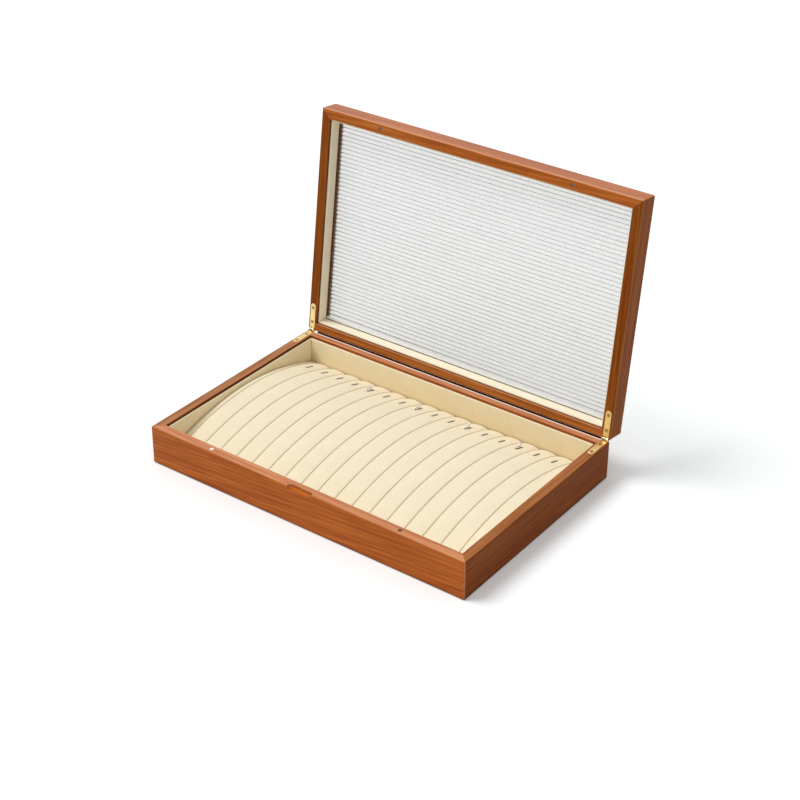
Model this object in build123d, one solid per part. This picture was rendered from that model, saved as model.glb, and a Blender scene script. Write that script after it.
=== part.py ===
from build123d import *
import os
from math import asin, cos, degrees, floor, hypot, radians, sin, sqrt

# Wooden jewellery box: a mitred base with a curved necklace pad, and a hinged
# lid that frames a ribbed clear panel. Millimetres, X to the right, Y to the
# back, Z up, origin at the middle of the underside. The lid is modelled shut
# and then turned to the open angle at which it rests.

# Outer sizes
box_width = 350.0
box_depth = 230.0
base_height = 39.0
lid_height = 20.7
shut_gap = 0.3
open_angle = 97.2

# Wooden rails
wall = 9.8
back_wall = 8.4
edge_round = 1.6
rim_round = 0.5
bottom_thickness = 4.0
bottom_rebate = 4.5
lip_width = 2.2
lip_height = 3.0
seat_gap = 0.1
cut_over = 1.0

# Thumb notch in the middle of the front rail's top edge
notch_width = 28.0
notch_round = 4.2
notch_in = 0.3
notch_up = 0.5

# Lining boards
liner_thickness = 2.0
liner_drop = 2.5

# Ribbed panel
panel_thickness = 4.0
panel_clearance = 0.4
rib_pitch = 4.17
rib_rise = 0.9

# Closing magnets
magnet_diameter = 4.0
magnet_length = 3.0
magnet_spacing = 210.0
magnet_from_edge = 4.8
base_magnet_recess = 0.1
lid_magnet_recess = 0.4
magnet_clearance = 0.05

# Hinges let into the side rails
leaf_width = 5.8
leaf_thickness = 1.6
leaf_from_edge = 4.8
leaf_length = 28.5
leaf_clearance = 0.05
pivot_rise = 0.9
knuckle_radius = 2.2
tongue_width = 2.2
tongue_clearance = 0.15
knuckle_relief = 0.4
stop_reach = 3.4
stop_heel = 28.0
stop_clearance = 0.05
pin_radius = 0.9
pin_fixed_clearance = 0.01
pin_running_clearance = 0.05

# Countersunk screws in the hinge leaves
screw_head_radius = 1.8
screw_head_height = 1.2
screw_shank_radius = 0.9
screw_length = 9.0
screw_tip = 1.6
screw_point = 0.15
screw_clearance = 0.04
screw_rows = (4.5, 19.7)
cross_length = 2.2
cross_width = 0.5
cross_depth = 0.6

# Curved necklace pad
pad_crown = 33.3
pad_foot = 12.65
pad_thickness = 3.0
pad_clearance = 0.3
channel_pitch = 19.0
channel_inset = 6.45
channel_rise = 0.8
groove_width = 1.4
groove_depth = 1.2
side_drop = 1.4
board_thickness = 2.5
bearer_thickness = 6.0
bearer_every = 4
bearer_inset = 7.0

# Necklace hooks that tip up out of slits in the pad
slit_from_back = 28.3
hook_length = 10.0
hook_thickness = 1.2
hook_side_clearance = 0.2
hook_end_clearance = 0.3
hook_front_gap = 0.6
hook_sink = 0.2
beak_depth = 3.2
stem_width = 3.4
arm_drop = 0.8
arm_height = 1.8
hook_dip = 10.0
hook_lift = 30.0
raised_hooks = (5, 8, 11, 14)
hook_pivot_back = 5.4
hook_pivot_down = 5.6
hook_eye_radius = 1.5
rod_radius = 0.6
rod_fixed_clearance = 0.01
rod_running_clearance = 0.05
rail_front_wall = 1.6
rail_back_wall = 2.5
rail_floor = 1.5
rail_margin = 3.0

# Levels and lines worked out from the sizes above
half_width = box_width / 2
half_depth = box_depth / 2
lid_rim = base_height + shut_gap
lid_top = lid_rim + lid_height
panel_back = lid_top - lip_height
panel_front = panel_back - panel_thickness
inner_x = half_width - wall
inner_front = -half_depth + wall
inner_back = half_depth - back_wall
lined_x = inner_x - liner_thickness
lined_front = inner_front + liner_thickness
lined_back = inner_back - liner_thickness
pivot_y = half_depth
pivot_z = base_height + pivot_rise
leaf_x = half_width - leaf_from_edge
leaf_front = half_depth - leaf_length
leaf_end = knuckle_radius + knuckle_relief
leaf_stop = half_depth - leaf_end
pad_rise = pad_crown - pad_foot
pad_radius = (lined_front ** 2 + pad_rise ** 2) / (2 * pad_rise)
arc_centre = pad_crown - pad_radius
slit_front = lined_back - slit_from_back
hook_tip_reach = hypot(hook_pivot_back + hook_front_gap + hook_length, hook_pivot_down - hook_sink)
slit_back = hook_tip_reach - hook_pivot_back + hook_end_clearance
arm_top = -hook_pivot_down - arm_drop
arm_low = arm_top - arm_height
slit_width = hook_thickness + 2 * hook_side_clearance
pad_x = lined_x - pad_clearance
pad_front = lined_front + pad_clearance
pad_back = lined_back - pad_clearance
first_groove = -lined_x + channel_inset
hook_room = 2 * lined_x - channel_inset - channel_pitch / 2 - rail_margin - pad_clearance
channel_count = floor(hook_room / channel_pitch) + 1
board_radius = pad_radius - pad_thickness - seat_gap
bearer_radius = board_radius - board_thickness - seat_gap

parts = {}


def save(name, *solids):
    """Write one named piece, or a group of like pieces, as a STEP file."""
    shape = solids[0] if len(solids) == 1 else Compound(children=list(solids))
    parts[name] = shape
    export_step(shape, f"parts/{name}.step")


def block(x0, x1, y0, y1, z0, z1):
    """Rectangular block between two corners."""
    box = Box(x1 - x0, y1 - y0, z1 - z0)
    return Pos((x0 + x1) / 2, (y0 + y1) / 2, (z0 + z1) / 2) * box


def prism(points, z0, z1):
    """Upright prism on a plan outline."""
    face = make_face(Polyline(*points, close=True))
    return Pos(0, 0, z0) * extrude(face, amount=z1 - z0)


def side_prism(points, x0, x1):
    """Prism along X on an outline drawn in Y and Z."""
    face = make_face(Plane.YZ * Polyline(*points, close=True))
    return Pos(x0, 0, 0) * extrude(face, amount=x1 - x0)


def rod_x(radius, x0, x1, y, z):
    """Round bar along X."""
    bar = Rot(0, 90, 0) * Cylinder(radius, x1 - x0)
    return Pos((x0 + x1) / 2, y, z) * bar


def opened(shape):
    """Turn a piece of the shut lid to the angle at which the lid rests."""
    turn = Pos(0, pivot_y, pivot_z) * Rot(-open_angle, 0, 0)
    return turn * Pos(0, -pivot_y, -pivot_z) * shape


def shut(shape):
    """The opposite turn, for what is drawn at the open angle."""
    turn = Pos(0, pivot_y, pivot_z) * Rot(open_angle, 0, 0)
    return turn * Pos(0, -pivot_y, -pivot_z) * shape


def mirrored(shape, side):
    """The right-hand piece itself, or its left-hand twin."""
    return shape if side > 0 else mirror(shape, about=Plane.YZ)


# Mitred frames

def rail_plans(x, front, back):
    """Plan outline of each rail round an opening. The mitres run at 45 degrees
    from the outer corners, and the narrower back rail ends them at its face."""
    back_x = half_width - half_depth + back
    return {
        "front": [(-half_width, -half_depth), (half_width, -half_depth), (x, front), (-x, front)],
        "back": [(half_width, half_depth), (-half_width, half_depth), (-back_x, back), (back_x, back)],
        "left": [(-half_width, half_depth), (-half_width, -half_depth), (-x, front), (-x, back), (-back_x, back)],
        "right": [(half_width, -half_depth), (half_width, half_depth), (back_x, back), (x, back), (x, front)],
    }


def rounded_block(z0, z1):
    """Outer form of the base or lid with its edges eased."""
    body = block(-half_width, half_width, -half_depth, half_depth, z0, z1)
    return fillet(body.edges(), edge_round)


def ease_rim(frame, level):
    """Round the inner edges of the rim."""
    room = block(
        -inner_x - rim_round, inner_x + rim_round, inner_front - rim_round, inner_back + rim_round,
        level - rim_round, level + rim_round,
    )
    inside = [edge for edge in frame.edges() if room.is_inside(edge.center())]
    return fillet(inside, rim_round)


def split_rails(prefix, frame, openings, place):
    """Cut a frame into its four rails, level by level, and save them."""
    for side in ("front", "back", "left", "right"):
        plans = [prism(rail_plans(x, front, back)[side], z0, z1) for x, front, back, z0, z1 in openings]
        rail = frame & plans[0]
        for plan in plans[1:]:
            rail = rail + (frame & plan)
        save(f"{prefix}_{side}_rail", place(rail.solid()))


# Hinge forms, drawn for the right-hand side with the lid shut

def leaf_outline(grow, z0, z1, back):
    """Leaf form with its round free end, or the mortise for it."""
    half = leaf_width / 2 + grow
    straight = block(leaf_x - half, leaf_x + half, leaf_front + leaf_width / 2, back, z0, z1)
    end = Cylinder(half, z1 - z0)
    return straight + Pos(leaf_x, leaf_front + leaf_width / 2, (z0 + z1) / 2) * end


def across_leaf(radius, half):
    """Round bar on the hinge line, as wide as given about the leaf's middle."""
    return rod_x(radius, leaf_x - half, leaf_x + half, pivot_y, pivot_z)


def screw_places():
    """Y positions of the screws in a leaf."""
    return [leaf_front + row for row in screw_rows]


def screw(grow=0.0):
    """Countersunk screw pointing down, head face at Z 0; grow makes its hole."""
    head = Cone(screw_shank_radius + grow, screw_head_radius + grow, screw_head_height)
    head = Pos(0, 0, -screw_head_height / 2) * head
    body_length = screw_length - screw_tip
    shank = Pos(0, 0, -body_length / 2) * Cylinder(screw_shank_radius + grow, body_length)
    tip = Cone(screw_point + grow, screw_shank_radius + grow, screw_tip)
    tip = Pos(0, 0, -body_length - screw_tip / 2) * tip
    form = head + shank + tip
    if grow:
        return form
    slot = Box(cross_length, cross_width, 2 * cross_depth)
    return form - slot - Rot(0, 0, 90) * slot


def screws_at(level, upward, grow=0.0):
    """Both screws of the right-hand leaf, driven down or up from a rim."""
    turn = Rot(180, 0, 0) if upward else Rot(0, 0, 0)
    return [Pos(leaf_x, y, level) * turn * screw(grow) for y in screw_places()]


def magnet_places():
    """Plan positions of the closing magnets in a front rail."""
    y = -half_depth + magnet_from_edge
    return [(-magnet_spacing / 2, y), (magnet_spacing / 2, y)]


def upright_disc(place, low, high, radius):
    """Disc between two levels, for a magnet or its hole."""
    return Pos(*place, (low + high) / 2) * Cylinder(radius, high - low)


# Base

def make_base_rails():
    """Four mitred rails with the rebate, notch, mortises and magnet holes."""
    opening = (inner_x, inner_front, inner_back, 0, base_height)
    frame = rounded_block(0, base_height)
    frame = frame - block(-inner_x, inner_x, inner_front, inner_back, 0, base_height)
    frame = ease_rim(frame, base_height)
    x, front, back = inner_x + bottom_rebate, inner_front - bottom_rebate, inner_back + bottom_rebate
    frame = frame - block(-x, x, front, back, 0, bottom_thickness)

    straight = notch_width / 2 - notch_round
    notch_y = -half_depth - notch_in
    notch_z = base_height + notch_up
    notch = rod_x(notch_round, -straight, straight, notch_y, notch_z)
    for end in (-straight, straight):
        notch = notch + Pos(end, notch_y, notch_z) * Sphere(notch_round)
    frame = frame - notch

    bore = magnet_diameter / 2 + magnet_clearance
    hole_low = base_height - base_magnet_recess - magnet_length
    for place in magnet_places():
        frame = frame - upright_disc(place, hole_low, base_height + cut_over, bore)

    mortise = leaf_outline(
        leaf_clearance, base_height - leaf_thickness, base_height + cut_over, half_depth + cut_over,
    )
    mortise = mortise + across_leaf(knuckle_radius + knuckle_relief, leaf_width / 2 + leaf_clearance)
    pocket_half = tongue_width / 2 + tongue_clearance
    mortise = mortise + across_leaf(stop_reach + knuckle_relief, pocket_half)
    for hole in screws_at(base_height, False, screw_clearance):
        mortise = mortise + hole
    for side in (1, -1):
        frame = frame - mirrored(mortise, side)
    split_rails("base", frame, [opening], lambda rail: rail)


def make_base_bottom():
    """Thin board let into the rebate, flush with the underside."""
    grip = bottom_rebate - seat_gap
    save("base_bottom_panel", block(
        -inner_x - grip, inner_x + grip, inner_front - grip, inner_back + grip, 0, bottom_thickness,
    ))


def save_liners(prefix, z0, z1, place):
    """Four fabric-covered boards that line a frame."""
    outer_x = inner_x - seat_gap
    outer_front = inner_front + seat_gap
    outer_back = inner_back - seat_gap
    between = lined_x - seat_gap
    boards = {
        "left": block(-outer_x, -lined_x, outer_front, outer_back, z0, z1),
        "right": block(lined_x, outer_x, outer_front, outer_back, z0, z1),
        "front": block(-between, between, outer_front, lined_front, z0, z1),
        "back": block(-between, between, lined_back, outer_back, z0, z1),
    }
    for side, board in boards.items():
        save(f"{prefix}_{side}_liner", place(board))


# Necklace pad

def pad_top(y):
    """Height of the pad's crown line at a distance from the middle."""
    return arc_centre + sqrt(pad_radius ** 2 - y ** 2)


def groove_lines():
    """X positions of the pressed grooves."""
    return [first_groove + channel_pitch * i for i in range(channel_count)]


def channel_arc(left, right):
    """Crown of one channel between two points of the pad's section."""
    width = right[0] - left[0]
    rise = channel_rise * width / channel_pitch
    return ThreePointArc(left, ((left[0] + right[0]) / 2, (left[1] + right[1]) / 2 + rise), right)


def pad_section():
    """Cross-section of the pad: crowned channels between narrow grooves."""
    shoulder = pad_radius - channel_rise
    edge = shoulder - side_drop
    under = pad_radius - pad_thickness
    half = groove_width / 2
    left = (-pad_x, edge)
    lines = [Line((-pad_x, under), left)]
    for x in groove_lines():
        valley = (x, shoulder - groove_depth)
        lines.append(channel_arc(left, (x - half, shoulder)))
        lines.append(Polyline((x - half, shoulder), valley, (x + half, shoulder)))
        left = (x + half, shoulder)
    lines.append(channel_arc(left, (pad_x, edge)))
    lines.append(Polyline((pad_x, edge), (pad_x, under), (-pad_x, under)))
    return make_face(Plane.XZ * Pos(0, arc_centre) * Curve(children=lines))


def hook_frame(x):
    """Plane on the pad's surface at the front of a slit: first axis runs back
    along the surface, second axis points out of it, normal is X."""
    tilt = hook_tilt()
    return Plane(
        origin=(x, slit_front, pad_top(slit_front)),
        x_dir=(0, cos(tilt), -sin(tilt)), z_dir=(1, 0, 0),
    )


def hook_tilt():
    """Slope of the pad's surface in the middle of a slit."""
    return asin((slit_front + slit_back / 2) / pad_radius)


def hook_lines():
    """X positions of the hooks, in the middle of the channels."""
    return [x + channel_pitch / 2 for x in groove_lines()]


def patch(u0, u1, w0, w1):
    """Rectangle in a hook's own frame: u runs back along the pad, w out of it."""
    return Pos((u0 + u1) / 2, (w0 + w1) / 2) * Rectangle(u1 - u0, w1 - w0)


def across_hook(x, width, outline):
    """Solid of a width along X on an outline drawn in a hook's own frame."""
    return extrude(hook_frame(x) * outline, amount=width / 2, both=True)


def slit(x):
    """Slit through the pad for one hook."""
    return across_hook(x, slit_width, patch(0, slit_back, -2 * pad_thickness, pad_thickness))


def trim_to_tray(shape):
    """Cut a ring down to the stretch that lies in the tray."""
    return shape & block(-pad_x, pad_x, pad_front, pad_back, bottom_thickness, base_height)


def pivot_point():
    """Y and Z of the rod that the hooks turn on."""
    spot = hook_frame(0).from_local_coords(Vector(-hook_pivot_back, -hook_pivot_down, 0))
    return spot.Y, spot.Z


def rail_half_length():
    """Half length of the hook rail, beyond the outermost hook."""
    return max(abs(x) for x in hook_lines()) + rail_margin


def rail_slot():
    """Ends of the hook rail's slots."""
    return -hook_pivot_back - hook_eye_radius - hook_end_clearance, slit_back


def rail_block(grow):
    """The hook rail as a plain bar, or the room for it, with a level top."""
    slot_front, slot_end = rail_slot()
    outline = patch(
        slot_front - rail_front_wall - grow, slot_end + rail_back_wall + grow,
        arm_low - rail_floor - grow, 0,
    )
    return across_hook(0, 2 * (rail_half_length() + grow), outline)


def make_pad():
    """Fabric pad over a curved board that stands on bearers."""
    axis = Axis((0, 0, arc_centre), (1, 0, 0))
    pad = trim_to_tray(revolve(pad_section(), axis=axis, revolution_arc=360))
    for x in hook_lines():
        pad = pad - slit(x)
    save("necklace_pad", pad.solid())

    board = rod_x(board_radius, -pad_x, pad_x, 0, arc_centre)
    board = board - rod_x(board_radius - board_thickness, -half_width, half_width, 0, arc_centre)
    board = trim_to_tray(board) - rail_block(seat_gap)
    save("pad_board", board.solid())

    room = block(
        -pad_x, pad_x, pad_front + bearer_inset, pad_back - bearer_inset, bottom_thickness, base_height,
    )
    for number, x in enumerate(groove_lines()[::bearer_every], start=1):
        bearer = rod_x(bearer_radius, x - bearer_thickness / 2, x + bearer_thickness / 2, 0, arc_centre)
        bearer = (bearer & room) - rail_block(seat_gap)
        save(f"pad_bearer_{number}", bearer.solid())


def make_hook_rail():
    """Slotted rail let into the board, and the rod that the hooks turn on."""
    rod_y, rod_z = pivot_point()
    half = rail_half_length()
    rail = rail_block(0) & rod_x(board_radius, -half_width, half_width, 0, arc_centre)
    for x in hook_lines():
        rail = rail - across_hook(x, slit_width, patch(*rail_slot(), arm_low, 0))
    bore = rod_x(rod_radius + rod_fixed_clearance, -half_width, half_width, rod_y, rod_z)
    save("hook_rail", (rail - bore).solid())
    save("hook_rod", rod_x(rod_radius, -half, half, rod_y, rod_z))


def hook_form(x):
    """Hook at rest in its slit: eye, arm on the rail's floor, stem and beak.
    The stem's front is round about the rod, so it swings clear of the slit."""
    pivot = Pos(-hook_pivot_back, -hook_pivot_down)
    front = hook_front_gap
    stem = patch(front, front + stem_width, -hook_pivot_down, -hook_sink)
    beak = patch(front, front + hook_length, -hook_sink - beak_depth, -hook_sink)
    swing = Circle(hypot(hook_pivot_back + front, hook_pivot_down - hook_sink))
    head = (stem + beak) - pivot * swing
    dipped = pivot * Rot(0, 0, -hook_dip) * pivot.inverse() * head
    arm_end = (hook_pivot_back + front + stem_width) * cos(radians(hook_dip)) - hook_pivot_back
    arm = patch(-hook_pivot_back, arm_end, arm_low, arm_top)
    outline = dipped + arm + pivot * Circle(hook_eye_radius)
    outline = outline - pivot * Circle(rod_radius + rod_running_clearance)
    return across_hook(x, hook_thickness, outline)


def make_hooks():
    """One hook in each channel, some of them tipped up."""
    rod_y, rod_z = pivot_point()
    lift = Pos(0, rod_y, rod_z) * Rot(hook_lift, 0, 0) * Pos(0, -rod_y, -rod_z)
    for number, x in enumerate(hook_lines(), start=1):
        hook = hook_form(x)
        if number in raised_hooks:
            hook = lift * hook
        save(f"necklace_hook_{number:02d}", hook.solid())


# Hinges

def base_leaf():
    """Leaf in the base with a fork about the hinge line."""
    low = base_height - leaf_thickness
    leaf = leaf_outline(0, low, base_height, half_depth)
    leaf = leaf + across_leaf(knuckle_radius, leaf_width / 2)
    gap = tongue_width / 2 + tongue_clearance
    leaf = leaf - block(leaf_x - gap, leaf_x + gap, leaf_stop, pivot_y + leaf_end, 0, lid_top)
    leaf = leaf - across_leaf(pin_radius + pin_fixed_clearance, leaf_width)
    for hole in screws_at(base_height, False, screw_clearance):
        leaf = leaf - hole
    return leaf


def stop_lug():
    """Lug that meets the end of the base leaf when the lid is fully open."""
    face = pivot_y - leaf_end + stop_clearance
    drop = sqrt(stop_reach ** 2 - (face - pivot_y) ** 2)
    heel = radians(stop_heel)
    outline = [
        (face, base_height), (face, pivot_z - drop),
        (pivot_y - stop_reach * sin(heel), pivot_z - stop_reach * cos(heel)),
        (pivot_y, pivot_z - knuckle_radius), (pivot_y, pivot_z - pin_radius),
        (pivot_y - knuckle_radius, pivot_z),
    ]
    return side_prism(outline, leaf_x - tongue_width / 2, leaf_x + tongue_width / 2)


def lid_leaf():
    """Leaf in the lid with a tongue that turns in the fork."""
    leaf = leaf_outline(0, lid_rim, lid_rim + leaf_thickness, leaf_stop)
    half = tongue_width / 2
    neck = block(
        leaf_x - half, leaf_x + half, leaf_stop - leaf_end, pivot_y, lid_rim, lid_rim + leaf_thickness,
    )
    leaf = leaf + neck + across_leaf(knuckle_radius, half) + shut(stop_lug())
    leaf = leaf - across_leaf(pin_radius + pin_running_clearance, leaf_width)
    for hole in screws_at(lid_rim, True, screw_clearance):
        leaf = leaf - hole
    return leaf


def make_hinges():
    """Leaves, pins and screws, right and left."""
    base_screws = []
    lid_screws = []
    for side, name in ((1, "right"), (-1, "left")):
        save(f"hinge_{name}_base_leaf", mirrored(base_leaf(), side).solid())
        save(f"hinge_{name}_lid_leaf", opened(mirrored(lid_leaf(), side)).solid())
        save(f"hinge_{name}_pin", mirrored(across_leaf(pin_radius, leaf_width / 2), side).solid())
        base_screws += [mirrored(piece, side).solid() for piece in screws_at(base_height, False)]
        lid_screws += [opened(mirrored(piece, side)).solid() for piece in screws_at(lid_rim, True)]
    save("base_hinge_screws", *base_screws)
    save("lid_hinge_screws", *lid_screws)


# Lid

def make_lid_rails():
    """Four mitred rails with the panel's rebate, mortises and magnet holes."""
    lip_x = inner_x - lip_width
    lip_front = inner_front + lip_width
    lip_back = inner_back - lip_width
    openings = [
        (inner_x, inner_front, inner_back, lid_rim, panel_back),
        (lip_x, lip_front, lip_back, panel_back, lid_top),
    ]
    frame = rounded_block(lid_rim, lid_top)
    for x, front, back, low, high in openings:
        frame = frame - block(-x, x, front, back, low, high)
    frame = ease_rim(frame, lid_rim)
    mortise = leaf_outline(
        leaf_clearance, lid_rim - cut_over, lid_rim + leaf_thickness, half_depth + cut_over,
    )
    mortise = mortise + across_leaf(knuckle_radius + knuckle_relief, leaf_width / 2 + leaf_clearance)
    for hole in screws_at(lid_rim, True, screw_clearance):
        mortise = mortise + hole
    for side in (1, -1):
        frame = frame - mirrored(mortise, side)
    bore = magnet_diameter / 2 + magnet_clearance
    hole_high = lid_rim + lid_magnet_recess + magnet_length
    for place in magnet_places():
        frame = frame - upright_disc(place, lid_rim - cut_over, hole_high, bore)
    split_rails("lid", frame, openings, opened)


def make_lid_panel():
    """Clear panel with round ribs along X on its inner face."""
    front = inner_front + panel_clearance
    back = inner_back - panel_clearance
    count = floor((back - front) / rib_pitch)
    start = (front + back - count * rib_pitch) / 2
    valley = panel_front + rib_rise
    lines = [Line((front, valley), (start, valley))]
    for i in range(count):
        left = start + i * rib_pitch
        right = left + rib_pitch
        lines.append(ThreePointArc((left, valley), ((left + right) / 2, panel_front), (right, valley)))
    lines.append(Line((start + count * rib_pitch, valley), (back, valley)))
    lines.append(Polyline((back, valley), (back, panel_back), (front, panel_back), (front, valley)))
    half = inner_x - panel_clearance
    face = make_face(Plane.YZ * Curve(children=lines))
    panel = Pos(-half, 0, 0) * extrude(face, amount=2 * half)
    save("ribbed_panel", opened(panel).solid())


def make_magnets():
    """Magnet discs in the two front rails."""
    radius = magnet_diameter / 2
    base_top = base_height - base_magnet_recess
    lid_low = lid_rim + lid_magnet_recess
    for side, place in zip(("left", "right"), magnet_places()):
        save(f"base_{side}_magnet", upright_disc(place, base_top - magnet_length, base_top, radius))
        save(f"lid_{side}_magnet", opened(upright_disc(place, lid_low, lid_low + magnet_length, radius)))


os.makedirs("parts", exist_ok=True)
make_base_rails()
make_base_bottom()
save_liners("base", bottom_thickness, base_height - liner_drop, lambda board: board)
make_pad()
make_hook_rail()
make_hooks()
make_hinges()
make_lid_rails()
make_lid_panel()
save_liners("lid", lid_rim + liner_drop, panel_front - seat_gap, opened)
make_magnets()
print(len(parts), "pieces; hinge line at Y", round(pivot_y, 3), "Z", round(pivot_z, 3))
print("hook rod at Y, Z", [round(value, 3) for value in pivot_point()])
print("slope of the pad at the hooks", round(degrees(hook_tilt()), 3))
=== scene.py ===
from bisect import bisect_right
from math import asin, cos, exp, hypot, pi, radians, sin
from operator import mul

import bmesh
import bpy
from mathutils import Matrix, Vector
from mathutils.noise import noise as cloudiness


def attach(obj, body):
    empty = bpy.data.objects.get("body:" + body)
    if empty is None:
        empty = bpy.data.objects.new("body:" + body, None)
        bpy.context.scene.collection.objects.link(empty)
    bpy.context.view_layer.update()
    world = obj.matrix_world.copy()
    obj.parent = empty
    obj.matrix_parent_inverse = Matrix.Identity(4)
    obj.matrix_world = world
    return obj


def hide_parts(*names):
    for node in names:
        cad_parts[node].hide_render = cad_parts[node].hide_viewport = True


# The looks of a wooden jewellery box: lacquered rails, cloth-covered lining
# boards and necklace pad, a ribbed clear panel and brass hinges. Metres, in the
# solid model's own frame, with the lid open as it rests.

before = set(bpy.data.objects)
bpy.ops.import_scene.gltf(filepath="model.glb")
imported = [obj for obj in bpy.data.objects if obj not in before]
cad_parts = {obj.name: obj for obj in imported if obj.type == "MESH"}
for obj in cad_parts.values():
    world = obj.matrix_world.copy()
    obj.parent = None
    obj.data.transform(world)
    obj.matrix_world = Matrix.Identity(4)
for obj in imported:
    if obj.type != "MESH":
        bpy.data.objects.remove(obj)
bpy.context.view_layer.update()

MM = 0.001
ROUNDING = 1e-9

# Box
BOX_DEPTH = 230 * MM
LID_TURN = radians(97.2)
HINGE_LINE = Vector((0, 115 * MM, 39.9 * MM))

# Turns that lay a piece's sides square, or its grain along the depth
NO_TURN = (0, 0, 0)
ALONG_DEPTH = (0, 0, -radians(90))
LID_SQUARE = (LID_TURN, 0, 0)
LID_ALONG_DEPTH = (LID_TURN, 0, -radians(90))

# Grain of the wood: its patterns are pulled long along X
FIGURE_STRETCH = (7, 120, 120)
STREAK_STRETCH = (15, 340, 340)
PORE_STRETCH = (150, 2800, 2800)
RING_PITCH = 4.6 * MM
WAVE_LENGTH = pi / 5
GRAIN_SLOPE = radians(6)
WOOD_COLOURS = (
    (0.34, (0.36, 0.074, 0.006)), (0.46, (0.45, 0.099, 0.010)),
    (0.54, (0.53, 0.130, 0.015)), (0.66, (0.65, 0.180, 0.026)),
)

# Lacquer of the wood, with painted sheen on its rim tops, painted highlights on its edges and
# painted shade in its corners
LACQUER_ROUGHNESS = (0.26, 0.40)
LACQUER_TINT = (1, 0.6, 0.35, 1)
DULL_ARRIS = 3.6
DULL_CORNER = 1.8
# Painted highlights on the wood's rounded edges and upright corners
ARRIS_HIGHLIGHT = -2.0
CORNER_HIGHLIGHT = (-0.2, 0.9)
# Painted highlight along the top of the back rail's rear edge
BACK_EDGE_START = 112.1 * MM
BACK_EDGE_FULL = 112.5 * MM
BACK_EDGE_HIGHLIGHT = (1.0, 0.82, 0.70)
RIM_LINE_START = 37.8 * MM
RIM_LINE_FULL = 38.3 * MM
RIM_LINE_SHARE = 0.6
RIM_LINE_COLOUR = (0.12, 0.022, 0.003)
RIM_STREAKS = (-0.2, 2.2)
# Reach and depth of the painted shade in the wood's corners
CORNER_SHADE_REACH = 5 * MM
CORNER_SHADE_DARKEST = 0.15

# Cloth
WEAVE_SCALE = 520
MOTTLE_SCALE = 60
NAP_SCALE = 1200
NAP_ROUGHNESS = (0.82, 0.98)
DEEP_CLOTH = 0.88
PALE_CLOTH = 1.05
PRESSED_SHADE = (0.58, 0.55, 0.48)
# Painted shade on the walls inside the pad's slits
SLIT_SHADE_COLOUR = (0.18, 0.17, 0.17)
# Painted highlight along the cloth's rounded edges
CLOTH_EDGE_HIGHLIGHT = (0.98, 0.93, 0.74)

# Metal and plain boards
TARNISH_SCALE = 220
DULL_METAL = 0.82
BLOTCH_SCALE = 420
# Reach of the painted shade round the hinge line
KNUCKLE_REACH = 3 * MM
FIBRE_STRETCH = (16, 380, 380)
FLECK_STRETCH = (200, 900, 900)
BOARD_ROUGHNESS = (0.65, 0.85)

# Lining boards
INNER_X = 165.2 * MM
INNER_FRONT = -105.2 * MM
INNER_BACK = 106.6 * MM
LINER_THICKNESS = 2 * MM
LINER_GAP = 0.1 * MM
LINER_ROUND = 0.7 * MM
BASE_LINER = (4 * MM, 36.5 * MM)
LID_LINER = (41.8 * MM, 52.9 * MM)

# Dark strip of painted shade in the hinge gap, and panel seal
SHADE_STRIP_HALF = 164.6 * MM
SHADE_STRIP_OUT = 2.6 * MM
SHADE_STRIP_LOW = 34.8 * MM
SHADE_STRIP_HEIGHT = 3.8 * MM
STRIP_ROUND = 0.5 * MM
SEAL_HALF = 162.6 * MM
SEAL_FRONT = 101.2 * MM
SEAL_BACK = 103.7 * MM
SEAL_THICKNESS = 0.3 * MM

# Ribbed panel
PANEL_X = 164.8 * MM
PANEL_FRONT = -104.8 * MM
PANEL_BACK = 106.2 * MM
PANEL_CREST = 53 * MM
PANEL_OUTSIDE = 57 * MM
RIB_PITCH = 4.17 * MM
RIB_RISE = 0.9 * MM
RIB_STEPS = 12
PANEL_INPUTS = (
    ("Width", "Float"), ("Rib pitch", "Float"), ("Rib count", "Int"), ("Rib rise", "Float"),
    ("Thickness", "Float"), ("Steps", "Int"), ("Finish", "Material"),
)
RIB_CREST_COLOUR = (0.90, 0.893, 0.885)
# Painted dark lines in the rib valleys and painted brown where the lid's wooden lip shows through,
# standing in for refraction
RIB_VALLEY_COLOUR = (0.11, 0.11, 0.11)
PAINTED_LIP_COLOUR = (0.45, 0.22, 0.10)
PAINTED_LIP_START = 160.9 * MM
PAINTED_LIP_FULL = 161.3 * MM
HAZE_STRETCH = (14, 260, 260)
PANEL_ROUGHNESS = (0.22, 0.30)
LAMP_SHARE = (0.75, 0.75, 0.75, 1)

# Necklace pad
PAD_CROWN = 33.3 * MM
PAD_RADIUS = 268.19 * MM
PAD_THICKNESS = 3 * MM
PAD_X = 162.9 * MM
PAD_FRONT = -102.9 * MM
PAD_BACK = 104.3 * MM
CHANNEL_PITCH = 19 * MM
CHANNEL_COUNT = 17
CHANNEL_RISE = 0.7 * MM
FIRST_GROOVE = -156.75 * MM
GROOVE_HALF = 0.85 * MM
GROOVE_DEPTH = 1.2 * MM
SIDE_DROP = 1.4 * MM
SIDE_WIDTH = 3 * MM
END_DROP = 0.7 * MM
END_WIDTH = 1.6 * MM
SLIT_FRONT = 76.3 * MM
SLIT_END = 87.5 * MM
SLIT_HALF = 0.8 * MM
SLIT_RIM_RISE = 0.5 * MM
SLIT_DIP = 0.35 * MM
SLIT_DIP_WIDTH = 0.9 * MM
BACK_SCALLOP = 0.9 * MM
SCALLOP_LENGTH = 9 * MM
LEAST_THICKNESS = 0.3 * MM

# How strongly shade is painted on the pad's cloth where it is pressed in: in its grooves, along
# its side and back edges and round its slits
GROOVE_MARK = 0.6
EDGE_MARK = 0.6
EDGE_MARK_WIDTH = 0.9 * MM
SLIT_MARK = 0.4
SLIT_MARK_WIDTH = 0.4 * MM

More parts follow.
